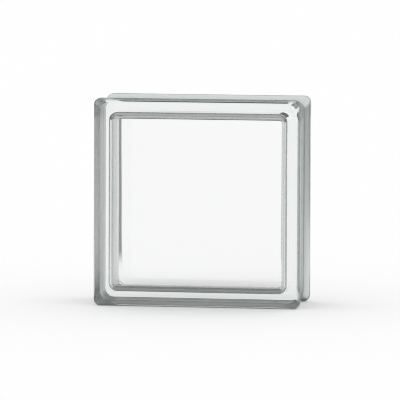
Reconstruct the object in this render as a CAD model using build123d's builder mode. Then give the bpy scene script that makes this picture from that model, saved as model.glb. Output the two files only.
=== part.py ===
import os

from build123d import *

os.makedirs("parts", exist_ok=True)

# Overall size of the standing block
side = 190.0                  # width and height over the flanges
depth = 80.0                  # front face to back face

# Flanges that frame the two faces
flange_land = 10.0            # flat outer edge of a flange, front to back
flange_slope = 7.0            # run of the slope down to the channel floor
flange_corner = 6.0           # corner of a flange, seen from the front
face_round = 4.0              # rounded edge between face and flange
land_round = 4.0              # rounded edge between flange and slope
channel_round = 4.0           # hollow between slope and channel floor

# Mortar channel between the flanges
channel_depth = 4.5           # from the flange edge in to the channel floor
channel_corner = 8.0          # corner of the channel floor, seen from the front

# Fused seam along the middle of the channel
seam_rise = 0.6               # bead above the channel floor
seam_reach = 2.0              # half width of the bead
seam_round = 2.0              # rounded crest of the bead

# Sealed hollow inside
face_plate = 8.0              # glass between face and hollow
wall_at_seam = 7.6            # glass between channel floor and hollow, at the seam
wall_at_plate = 8.4           # the same at the face plates, thicker by the mould draft
hollow_round = 7.0            # rounded edge between face plate and side wall
hollow_corner_ease = 1.0      # how much rounder the corner is, seen from the front

half_depth = depth / 2
middle_height = side / 2
land_at = half_depth - flange_land
floor_at = land_at - flange_slope
plate_at = half_depth - face_plate
channel_side = side - 2 * channel_depth
bead_side = channel_side + 2 * seam_rise
seam_hollow = channel_side - 2 * wall_at_seam
plate_hollow = channel_side - 2 * wall_at_plate
hollow_corner = hollow_round + hollow_corner_ease
bead_from = (channel_side - wall_at_seam) / 2


def square(distance, width, corner):
    with BuildSketch(Plane.XZ.offset(distance)) as outline:
        with Locations((0, middle_height)):
            RectangleRounded(width, width, corner)
    return outline.sketch


with BuildPart() as glass_block:
    # Front half: flange with its face plate, slope and channel floor
    flange = square(land_at, side, flange_corner)
    extrude(flange, amount=flange_land)
    loft([flange, square(floor_at, channel_side, channel_corner)], ruled=True)
    extrude(square(0, channel_side, channel_corner), amount=floor_at)

    # Rounded edges of the flange, from the face down to the channel floor
    for place, size in ((half_depth, face_round), (land_at, land_round), (floor_at, channel_round)):
        fillet(glass_block.edges().filter_by_position(Axis.Y, -place, -place), radius=size)

    # Half of the fused bead, which dies out on the channel floor
    bead = square(0, bead_side, channel_corner + seam_rise)
    loft([bead, square(seam_reach, channel_side, channel_corner)], ruled=True)

    # Half of the sealed hollow, widening to the seam
    hollow = square(0, seam_hollow, hollow_corner)
    loft([hollow, square(plate_at, plate_hollow, hollow_corner)], ruled=True, mode=Mode.SUBTRACT)
    fillet(glass_block.edges().filter_by_position(Axis.Y, -plate_at, -plate_at), radius=hollow_round)

    # The back half is the same pressing, fused to the front one along a rounded crest
    mirror(about=Plane.XZ)
    seam = glass_block.edges().filter_by_position(Axis.Y, 0, 0)
    ridge = seam.filter_by(lambda e: max(abs(e.center().X), abs(e.center().Z - middle_height)) > bead_from)
    fillet(ridge, radius=seam_round)

glass_block.part.label = "glass_block"
export_step(glass_block.part, "parts/glass_block.step")
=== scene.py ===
import math

import bpy
import numpy as np
from mathutils import Matrix, Vector


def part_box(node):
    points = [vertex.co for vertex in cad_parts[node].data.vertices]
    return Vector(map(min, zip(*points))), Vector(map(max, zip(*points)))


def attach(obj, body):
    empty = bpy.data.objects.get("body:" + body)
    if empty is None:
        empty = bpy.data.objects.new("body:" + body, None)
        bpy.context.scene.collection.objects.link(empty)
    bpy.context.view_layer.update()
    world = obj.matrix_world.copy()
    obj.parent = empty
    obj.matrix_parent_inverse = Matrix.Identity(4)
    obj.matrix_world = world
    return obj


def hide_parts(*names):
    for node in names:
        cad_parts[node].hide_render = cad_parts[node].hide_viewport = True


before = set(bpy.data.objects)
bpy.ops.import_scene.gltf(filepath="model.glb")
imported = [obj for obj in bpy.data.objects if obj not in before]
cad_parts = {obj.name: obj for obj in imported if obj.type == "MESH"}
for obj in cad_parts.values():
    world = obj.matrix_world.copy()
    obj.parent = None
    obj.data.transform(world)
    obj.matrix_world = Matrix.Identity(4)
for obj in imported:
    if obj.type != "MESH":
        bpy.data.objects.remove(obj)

scene = bpy.context.scene
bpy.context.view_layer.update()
blockLow, blockHigh = (np.array(corner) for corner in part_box("glass_block"))
print("frame loaded, block spans", np.round(blockHigh - blockLow, 4), "m")


# Profile of the glass, outside and inside

blockSet = {
    "flangeLand": 0.010,      # flat outer edge of a flange, front to back
    "flangeSlope": 0.007,     # run of the slope down to the channel floor
    "flangeCorner": 0.006,    # corner of a flange, seen from the front
    "faceRound": 0.004,       # edge between face and flange
    "landRound": 0.004,       # edge between flange and slope
    "channelRound": 0.004,    # hollow between slope and channel floor
    "channelDepth": 0.0045,
    "channelCorner": 0.008,
    "seamRise": 0.0006,       # bead where the two halves are fused
    "seamReach": 0.002,
    "seamRound": 0.002,
    "facePlate": 0.008,
    "wallAtSeam": 0.0076,
    "wallAtPlate": 0.0084,
    "hollowRound": 0.007,     # edge between face plate and side wall
    "hollowCorner": 0.008,
    "innerSeamRound": 0.02,   # soft crease inside, where the halves meet
    "arcSteps": 14,           # points on each rounded edge of the profile
    "rowGap": 0.005,          # longest step along the profile
    "sideSteps": 36,          # points along each side of the square
    "cornerSteps": 14,        # points round each corner of the square
    "outerWave": 0.00002,     # how far the pressed surface wanders
    "innerWave": 0.00008,
    "waveTurns": ((61.0, 23.0, 38.0), (-34.0, 41.0, 57.0), (17.0, -29.0, 83.0)),   # radians per metre
    "wavePhases": (0.4, 2.1, 4.4),
    "satinFrom": 0.0002,      # depth below a face where the satin edge starts
    "satinFull": 0.0012,
    "slopeSatin": 0.65,       # how satin the flange is against the channel floor
}

halfSide = (blockHigh[0] - blockLow[0]) / 2
halfDepth = (blockHigh[1] - blockLow[1]) / 2
middle = (blockLow + blockHigh) / 2


def roundedLine(points, radii, steps):
    # A polyline whose inner corners become arcs tangent to both legs: the arc's centre lies on the
    # bisector at radius / sin(half angle), and the arc turns from one leg's normal to the other's.
    points = np.array(points, float)
    radii = np.array(radii, float)[:, None]
    before = points[:-2] - points[1:-1]
    after = points[2:] - points[1:-1]
    before /= np.linalg.norm(before, axis=1, keepdims=True)
    after /= np.linalg.norm(after, axis=1, keepdims=True)
    half = np.arccos(np.clip((before * after).sum(1, keepdims=True), -1, 1)) / 2
    bisector = before + after
    bisector /= np.linalg.norm(bisector, axis=1, keepdims=True)
    centre = points[1:-1] + bisector * radii / np.sin(half)
    start = points[1:-1] + before * radii / np.tan(half) - centre
    end = points[1:-1] + after * radii / np.tan(half) - centre
    turn = np.arctan2(start[:, 0] * end[:, 1] - start[:, 1] * end[:, 0], (start * end).sum(1))
    angle = turn[:, None] * np.linspace(0, 1, steps)
    cosine, sine = np.cos(angle), np.sin(angle)
    arcX = centre[:, :1] + start[:, :1] * cosine - start[:, 1:] * sine
    arcY = centre[:, 1:] + start[:, :1] * sine + start[:, 1:] * cosine
    way = np.sign(turn)[:, None]
    headX = -way * (arcY - centre[:, 1:])
    headY = way * (arcX - centre[:, :1])
    line = np.vstack([points[:1], np.stack([arcX, arcY], -1).reshape(-1, 2), points[-1:]])
    head = np.vstack([-before[:1], np.stack([headX, headY], -1).reshape(-1, 2), after[-1:]])
    return line, head / np.linalg.norm(head, axis=1, keepdims=True)


def evenRows(line, head, gap):
    # The same line with no step longer than gap: place and heading are read off at more lengths along it.
    length = np.concatenate([[0], np.cumsum(np.linalg.norm(np.diff(line, axis=0), axis=1))])
    count = math.ceil(length[-1] / gap)
    places = np.unique(np.round(np.concatenate([length, np.linspace(0, length[-1], count)]), 7))
    read = [np.interp(places, length, column) for column in (*line.T, *head.T)]
    return np.stack(read[:2], -1), np.stack(read[2:], -1)


def outerProfile():
    # Section of the outside from the middle of the front face round to the middle of the back face,
    # as half size and depth, with the corner radius of the square at each point and its growth per size.
    s = blockSet
    floorSize = halfSide - s["channelDepth"]
    landAt = halfDepth - s["flangeLand"]
    floorAt = landAt - s["flangeSlope"]
    half = [(halfSide, -halfDepth, s["faceRound"]), (halfSide, -landAt, s["landRound"]),
            (floorSize, -floorAt, s["channelRound"]), (floorSize, -s["seamReach"], s["seamRound"])]
    crest = [(floorSize + s["seamRise"], 0, s["seamRound"])]
    corners = half + crest + [(size, -depth, radius) for size, depth, radius in half[::-1]]
    points = [(0, -halfDepth)] + [corner[:2] for corner in corners] + [(0, halfDepth)]
    radii = [corner[2] for corner in corners]
    line, head = evenRows(*roundedLine(points, radii, s["arcSteps"]), s["rowGap"])
    size, depth = line[:, 0], np.abs(line[:, 1])
    faceSize = halfSide - s["faceRound"]
    faceShare = (s["flangeCorner"] - s["faceRound"]) / faceSize
    slopeShare = (s["channelCorner"] - s["flangeCorner"]) / s["channelDepth"]
    onFace = size < faceSize
    onFlange = depth > landAt
    onSlope = depth > floorAt
    zones = [onFace & onFlange, onFlange, onSlope]
    faceRadius = size * faceShare
    landRadius = s["flangeCorner"] - halfSide + size
    slopeRadius = s["flangeCorner"] + (halfSide - size) * slopeShare
    radius = np.select(zones, [faceRadius, landRadius, slopeRadius], s["channelCorner"] + size - floorSize)
    share = np.select(zones, [faceShare, 1.0, -slopeShare], 1.0)
    return line, head, radius, share


def innerProfile():
    # Section of the sealed hollow from the middle of the front plate to the middle of the back plate,
    # widening to the seam, with the corner radius of the square at each point and its growth per size.
    s = blockSet
    plateAt = halfDepth - s["facePlate"]
    floorSize = halfSide - s["channelDepth"]
    plateSize = floorSize - s["wallAtPlate"]
    seamSize = floorSize - s["wallAtSeam"]
    corners = [(plateSize, -plateAt, s["hollowRound"]), (seamSize, 0, s["innerSeamRound"]),
               (plateSize, plateAt, s["hollowRound"])]
    points = [(0, -plateAt)] + [corner[:2] for corner in corners] + [(0, plateAt)]
    radii = [corner[2] for corner in corners]
    line, head = evenRows(*roundedLine(points, radii, s["arcSteps"]), s["rowGap"])
    size, depth = line[:, 0], np.abs(line[:, 1])
    flatSize = plateSize - s["hollowRound"]
    flatShare = (s["hollowCorner"] - s["hollowRound"]) / flatSize
    onPlate = size < flatSize
    onWall = depth < plateAt - s["hollowRound"]
    radius = np.select([onPlate, onWall], [size * flatShare, s["hollowCorner"]],
                       np.minimum(s["hollowCorner"], s["hollowCorner"] - plateSize + size))
    share = np.select([onPlate, onWall], [flatShare, 0.0], 1.0)
    return line, head, radius, share


def squareRing():
    # One round of a rounded square: each point is a corner's centre, as a share of the half size less
    # the corner radius, and a direction from it; along a side the centre slides and the direction stays.
    s = blockSet
    bend = np.linspace(0, math.pi / 2, s["cornerSteps"])
    slide = 1 - np.cos(np.linspace(0, math.pi, s["sideSteps"] + 1))[1:-1]
    angle = np.concatenate([bend, np.full(len(slide), math.pi / 2)])
    centreX = np.concatenate([np.ones(len(bend)), 1 - slide])
    centreZ = np.ones(len(angle))
    quarter = np.arange(4)[:, None] * math.pi / 2
    cosine, sine = np.round(np.cos(quarter)), np.round(np.sin(quarter))
    shareX = (centreX * cosine - centreZ * sine).ravel()
    shareZ = (centreX * sine + centreZ * cosine).ravel()
    angle = (angle + quarter).ravel()
    return shareX, shareZ, np.cos(angle), np.sin(angle)


def pressedWave(place, height):
    # Slow wandering of a pressed surface: three crossing sine waves, with their slope.
    waves = np.array(blockSet["waveTurns"])
    phase = place @ waves.T + np.array(blockSet["wavePhases"])
    offset = height * np.sin(phase).mean(-1)
    slope = height * np.cos(phase) @ waves / len(waves)
    return offset, slope


def carriedShell(profile, wave, inward):
    # The profile carried round the square ring: x and z are (size - radius) times the ring's centre share
    # plus radius times its direction. The normal is the profile's heading crossed with the ring's.
    line, head, radius, share = profile
    line, head, radius, share = line[1:-1], head[1:-1], radius[1:-1], share[1:-1]
    shareX, shareZ, dirX, dirZ = squareRing()
    size, depth = line[:, :1], line[:, 1:]
    radius = radius[:, None]
    x = (size - radius) * shareX + radius * dirX
    z = (size - radius) * shareZ + radius * dirZ
    y = np.broadcast_to(depth, x.shape)
    place = np.stack([x, y, z], -1).reshape(-1, 3) + middle
    growth = head[:, :1] * ((1 - share[:, None]) * (shareX * dirX + shareZ * dirZ) + share[:, None])
    normal = np.stack([head[:, 1:] * dirX, -growth, head[:, 1:] * dirZ], -1).reshape(-1, 3)
    normal /= np.linalg.norm(normal, axis=1, keepdims=True)
    poles = np.array([[0, profile[0][0, 1], 0], [0, profile[0][-1, 1], 0]]) + middle
    place = np.vstack([place, poles])
    normal = np.vstack([normal, [[0, -1, 0], [0, 1, 0]]])
    offset, slope = pressedWave(place, wave)
    moved = place + normal * (offset - wave)[:, None]
    tilted = normal - slope + normal * (slope * normal).sum(1, keepdims=True)
    tilted /= np.linalg.norm(tilted, axis=1, keepdims=True)
    rows, columns = x.shape
    grid = np.arange(rows * columns).reshape(rows, columns)
    beside = np.roll(grid, -1, 1)
    quads = np.stack([grid[:-1], grid[1:], beside[1:], beside[:-1]], -1).reshape(-1, 4)
    first, last = rows * columns, rows * columns + 1
    fans = np.vstack([np.stack([np.full(columns, first), grid[0], beside[0]], -1),
                      np.stack([grid[-1], np.full(columns, last), beside[-1]], -1)])
    if inward:
        quads, fans, tilted = quads[:, ::-1], fans[:, ::-1], -tilted
    return moved, tilted, quads, fans


def makeBlock():
    # The outer skin and the skin of the hollow as one mesh. The satin share grows with the depth below a
    # face, from none to slopeSatin on the flange and to one on the channel floor, and is none inside.
    outside = carriedShell(outerProfile(), blockSet["outerWave"], False)
    inside = carriedShell(innerProfile(), blockSet["innerWave"], True)
    start = len(outside[0])
    place = np.vstack([outside[0], inside[0]])
    normal = np.vstack([outside[1], inside[1]])
    quads = np.vstack([outside[2], inside[2] + start])
    fans = np.vstack([outside[3], inside[3] + start])
    mesh = bpy.data.meshes.new("pressedGlass")
    mesh.from_pydata(place.tolist(), [], quads.tolist() + fans.tolist())
    mesh.polygons.foreach_set("use_smooth", np.ones(len(mesh.polygons), bool))
    mesh.normals_split_custom_set_from_vertices(normal.tolist())
    below = halfDepth - np.abs(place[:, 1] - middle[1])
    satin = np.clip((below - blockSet["satinFrom"]) / (blockSet["satinFull"] - blockSet["satinFrom"]), 0, 1)
    across = np.abs(place - middle)[:, ::2].max(1)
    inChannel = np.clip((halfSide - across) / blockSet["channelDepth"], 0, 1)
    satin *= blockSet["slopeSatin"] + (1 - blockSet["slopeSatin"]) * inChannel
    satin[start:] = 0
    mesh.attributes.new("satinEdge", "FLOAT", "POINT").data.foreach_set("value", satin.astype(np.float32))
    block = bpy.data.objects.new("pressedGlass", mesh)
    scene.collection.objects.link(block)
    print("pressed glass", len(mesh.vertices), "points,", len(quads) * 2 + len(fans), "triangles")
    return block


# Finish of the glass

glassSet = {
    "ior": 1.52,
    "faceColor": (1.0, 1.0, 1.0),
    "satinColor": (0.40, 0.47, 0.44),    # dull streaks of the satin edge
    "brightColor": (0.49, 0.56, 0.53),   # clearer streaks of it
    "satinRough": 0.48,
    "brightRough": 0.42,
    "streakAlong": 0.7,           # streaks per metre along a side, and across it
    "streakAcross": 110.0,
    "streakFrom": 0.35,           # noise levels between which dull turns to clear
    "streakTo": 0.65,
    "streakDetail": 1.0,
    "streakBump": 0.000005,       # height of the streaks
    "tint": (0.6, 0.68, 0.65),    # a metre of glass takes out one less this, times the density
    "tintDensity": 3.0,
}


def joined(tree, kind, operation, *values):
    # A Math or Vector Math node fed with numbers or other nodes' outputs.
    node = tree.nodes.new("ShaderNode" + kind)
    node.operation = operation
    for socket, value in zip(node.inputs, values):
        if isinstance(value, (int, float, tuple)):
            socket.default_value = value
        else:
            tree.links.new(value, socket)
    return next(socket for socket in node.outputs if socket.enabled)


def mapped(tree, value, fromLow, fromHigh, toLow, toHigh):
    # A smooth step from one level to another.
    node = tree.nodes.new("ShaderNodeMapRange")
    node.interpolation_type = "SMOOTHSTEP"
    tree.links.new(value, node.inputs["Value"])
    names = ("From Min", "From Max", "To Min", "To Max")
    for name, number in zip(names, (fromLow, fromHigh, toLow, toHigh)):
        node.inputs[name].default_value = number
    return node.outputs["Result"]


def blended(tree, share, low, high):
    # A mix of two colours, each given as numbers or as a node's output.
    node = tree.nodes.new("ShaderNodeMix")
    node.data_type = "RGBA"
    inputs = {socket.name: socket for socket in node.inputs if socket.enabled}
    tree.links.new(share, inputs["Factor"])
    for socket, value in ((inputs["A"], low), (inputs["B"], high)):
        if isinstance(value, tuple):
            socket.default_value = (*value, 1)
        else:
            tree.links.new(value, socket)
    return next(socket for socket in node.outputs if socket.enabled)


def satinStreaks():
    # Streaks that the mould and the fusing leave along the satin edges, as colour, roughness and normal.
    g = glassSet
    tree = bpy.data.node_groups.new("satinStreaks", "ShaderNodeTree")
    tree.interface.new_socket("Satin", in_out="INPUT", socket_type="NodeSocketFloat")
    tree.interface.new_socket("Place", in_out="INPUT", socket_type="NodeSocketVector")
    for name, kind in (("Color", "Color"), ("Roughness", "Float"), ("Normal", "Vector")):
        tree.interface.new_socket(name, in_out="OUTPUT", socket_type="NodeSocket" + kind)
    given = tree.nodes.new("NodeGroupInput").outputs
    result = tree.nodes.new("NodeGroupOutput").inputs
    stretched = joined(tree, "VectorMath", "MULTIPLY", given["Place"],
                       (g["streakAlong"], g["streakAcross"], g["streakAlong"]))
    noise = tree.nodes.new("ShaderNodeTexNoise")
    noise.inputs["Scale"].default_value = 1
    noise.inputs["Detail"].default_value = g["streakDetail"]
    tree.links.new(stretched, noise.inputs["Vector"])
    streak = mapped(tree, noise.outputs["Fac"], g["streakFrom"], g["streakTo"], 0, 1)
    color = blended(tree, streak, g["satinColor"], g["brightColor"])
    rough = mapped(tree, streak, 0, 1, g["satinRough"], g["brightRough"])
    tree.links.new(blended(tree, given["Satin"], g["faceColor"], color), result["Color"])
    tree.links.new(joined(tree, "Math", "MULTIPLY", rough, given["Satin"]), result["Roughness"])
    bump = tree.nodes.new("ShaderNodeBump")
    bump.inputs["Distance"].default_value = g["streakBump"]
    tree.links.new(given["Satin"], bump.inputs["Strength"])
    tree.links.new(noise.outputs["Fac"], bump.inputs["Height"])
    tree.links.new(bump.outputs["Normal"], result["Normal"])
    return tree


def glassMaterial():
    # Clear glass whose satin edges come from the mesh, with a tint that deepens with the way through it.
    material = bpy.data.materials.new("clearGlass")
    material.use_nodes = True
    nodes, links = material.node_tree.nodes, material.node_tree.links
    shader = nodes["Principled BSDF"]
    shader.inputs["Transmission Weight"].default_value = 1
    shader.inputs["IOR"].default_value = glassSet["ior"]
    satin = nodes.new("ShaderNodeAttribute")
    satin.attribute_name = "satinEdge"
    streaks = nodes.new("ShaderNodeGroup")
    streaks.node_tree = satinStreaks()
    links.new(satin.outputs["Fac"], streaks.inputs["Satin"])
    links.new(nodes.new("ShaderNodeTexCoord").outputs["Object"], streaks.inputs["Place"])
    links.new(streaks.outputs["Color"], shader.inputs["Base Color"])
    links.new(streaks.outputs["Roughness"], shader.inputs["Roughness"])
    links.new(streaks.outputs["Normal"], shader.inputs["Normal"])
    depth = nodes.new("ShaderNodeVolumeAbsorption")
    depth.inputs["Color"].default_value = (*glassSet["tint"], 1)
    depth.inputs["Density"].default_value = glassSet["tintDensity"]
    links.new(depth.outputs["Volume"], nodes["Material Output"].inputs["Volume"])
    return material


glass = makeBlock()
glass.data.materials.append(glassMaterial())
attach(glass, "root")
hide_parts("glass_block")


# Floor and light

studioSet = {
    "floorReach": 30.0,
    "floorColor": 0.6,
    "floorRough": 0.9,
    "floorGlow": 0.41,              # what the light leaves short of white
    "glowThrough": 0.9,             # share of that glow seen in and through the glass
    "glowFrom": (0.0, 0.3, 0.95),   # the glow comes from behind, so the shade falls to the front
    "glowReach": 0.12,              # how far that shade goes
    "shadeShare": 0.35,             # and how much of the glow it takes
    "fieldFrom": 0.74,              # white field behind the block, by how far a direction points back
    "fieldTo": 0.82,
    "fieldDark": 0.22,              # to both sides of the field
    "sideFrom": 0.1,                # white again from here to the sides and the front
    "sideTo": 0.4,
    "sideLevel": 1.0,
    "nearReach": 0.36,              # the floor this near stays pale all round
    "nearFade": 0.62,               # and follows the field from here
    "skyFrom": 0.13,                # dark above the field, by the height of a direction
    "skyTo": 0.18,
    "skyDark": 0.12,
    "domeFrom": 0.45,               # soft light overhead
    "domeTo": 0.85,
    "domeLevel": 0.5,
}


def fieldLevel(tree, towards):
    # White behind the block and all round its front, dark between the two: the larger of two smooth steps
    # over how far the level direction points to the back.
    flat = joined(tree, "VectorMath", "MULTIPLY", towards, (1.0, 1.0, 0.0))
    flat = joined(tree, "VectorMath", "NORMALIZE", flat)
    along = joined(tree, "VectorMath", "DOT_PRODUCT", flat, (0.0, 1.0, 0.0))
    field = mapped(tree, along, studioSet["fieldFrom"], studioSet["fieldTo"], studioSet["fieldDark"], 1)
    side = mapped(tree, along, studioSet["sideFrom"], studioSet["sideTo"], studioSet["sideLevel"], 0)
    return joined(tree, "Math", "MAXIMUM", field, side)


def makeFloor():
    # A flat square, lit by the world. Its own glow makes it white to the camera and to matte surfaces, and
    # the block shades that glow. In and through the glass its far part follows the field, and the near part
    # stays white.
    reach = studioSet["floorReach"]
    mesh = bpy.data.meshes.new("floor")
    mesh.from_pydata([(-reach, -reach, 0), (reach, -reach, 0), (reach, reach, 0), (-reach, reach, 0)],
                     [], [(0, 1, 2, 3)])
    floor = bpy.data.objects.new("floor", mesh)
    scene.collection.objects.link(floor)
    material = bpy.data.materials.new("paleFloor")
    material.use_nodes = True
    tree = material.node_tree
    shader = tree.nodes["Principled BSDF"]
    shader.inputs["Roughness"].default_value = studioSet["floorRough"]
    shader.inputs["Specular IOR Level"].default_value = 0
    path = tree.nodes.new("ShaderNodeLightPath").outputs
    place = tree.nodes.new("ShaderNodeTexCoord").outputs["Object"]
    far = joined(tree, "VectorMath", "LENGTH", place)
    near = mapped(tree, far, studioSet["nearReach"], studioSet["nearFade"], 1, 0)
    level = joined(tree, "Math", "MAXIMUM", fieldLevel(tree, place), near)
    plain = joined(tree, "Math", "MAXIMUM", path["Is Camera Ray"], path["Is Diffuse Ray"])
    level = joined(tree, "Math", "MAXIMUM", level, plain)
    shade = tree.nodes.new("ShaderNodeAmbientOcclusion")
    shade.inputs["Distance"].default_value = studioSet["glowReach"]
    tilt = joined(tree, "VectorMath", "NORMALIZE", studioSet["glowFrom"])
    tree.links.new(tilt, shade.inputs["Normal"])
    seen = joined(tree, "Math", "MAXIMUM", path["Is Glossy Ray"], path["Is Transmission Ray"])
    seen = joined(tree, "Math", "MULTIPLY", seen, studioSet["glowThrough"])
    seen = joined(tree, "Math", "MAXIMUM", seen, plain)
    glow = joined(tree, "Math", "MULTIPLY", seen, studioSet["floorGlow"])
    lit = mapped(tree, shade.outputs["AO"], 0, 1, 1 - studioSet["shadeShare"], 1)
    glow = joined(tree, "Math", "MULTIPLY", glow, lit)
    pale = joined(tree, "Math", "MULTIPLY", level, studioSet["floorColor"])
    tree.links.new(pale, shader.inputs["Base Color"])
    shader.inputs["Emission Color"].default_value = (1, 1, 1, 1)
    tree.links.new(joined(tree, "Math", "MULTIPLY", glow, level), shader.inputs["Emission Strength"])
    mesh.materials.append(material)


def makeWorld():
    # White to the camera and to matte surfaces, so that a colour renders about as it is written. In and
    # through the glass it is the field up to a low height, dark above it, with a soft dome overhead.
    world = bpy.data.worlds.new("studio")
    scene.world = world
    world.use_nodes = True
    tree = world.node_tree
    background = tree.nodes["Background"]
    background.inputs["Color"].default_value = (1, 1, 1, 1)
    towards = tree.nodes.new("ShaderNodeTexCoord").outputs["Generated"]
    height = joined(tree, "VectorMath", "DOT_PRODUCT", towards, (0.0, 0.0, 1.0))
    sky = mapped(tree, height, studioSet["skyFrom"], studioSet["skyTo"], 1, 0)
    room = joined(tree, "Math", "MULTIPLY", fieldLevel(tree, towards), sky)
    dome = mapped(tree, height, studioSet["domeFrom"], studioSet["domeTo"],
                  studioSet["skyDark"], studioSet["domeLevel"])
    level = joined(tree, "Math", "MULTIPLY_ADD", joined(tree, "Math", "SUBTRACT", 1, sky), dome, room)
    path = tree.nodes.new("ShaderNodeLightPath").outputs
    plain = joined(tree, "Math", "MAXIMUM", path["Is Camera Ray"], path["Is Diffuse Ray"])
    tree.links.new(joined(tree, "Math", "MAXIMUM", level, plain), background.inputs["Strength"])


makeFloor()
makeWorld()
print("studio ready")


# Camera at the photograph's angle

cameraSet = {
    "azimuth": 8.83,          # degrees to the right of the front
    "elevation": 4.93,
    "roll": 0.2,
    "distance": 4.42,
    "lens": 433.8,
    "clipEnd": 200.0,
    "aim": (-0.00257, 0.0, 0.09509),
}


def makeCamera():
    # The camera stands off from its aim along the two angles, looks back at it, and is turned by the roll.
    data = bpy.data.cameras.new("camera")
    data.lens = cameraSet["lens"]
    data.clip_end = cameraSet["clipEnd"]
    camera = bpy.data.objects.new("camera", data)
    scene.collection.objects.link(camera)
    azimuth, elevation, roll = (math.radians(cameraSet[key]) for key in ("azimuth", "elevation", "roll"))
    back = Vector((math.sin(azimuth) * math.cos(elevation), -math.cos(azimuth) * math.cos(elevation),
                   math.sin(elevation)))
    turned = (-back).to_track_quat("-Z", "Y").to_matrix() @ Matrix.Rotation(roll, 3, "Z")
    stand = Vector(cameraSet["aim"]) + back * cameraSet["distance"]
    camera.matrix_world = Matrix.Translation(stand) @ turned.to_4x4()
    scene.camera = camera


makeCamera()


# Enough bounces for light to cross the glass many times

renderSet = {
    "filterWidth": 1.0,
    "throughBounces": 32,
    "mirrorBounces": 16,
}

scene.view_settings.view_transform = "Standard"
scene.cycles.filter_width = renderSet["filterWidth"]
scene.cycles.max_bounces = renderSet["throughBounces"]
scene.cycles.transmission_bounces = renderSet["throughBounces"]
scene.cycles.glossy_bounces = renderSet["mirrorBounces"]
print("camera ready")
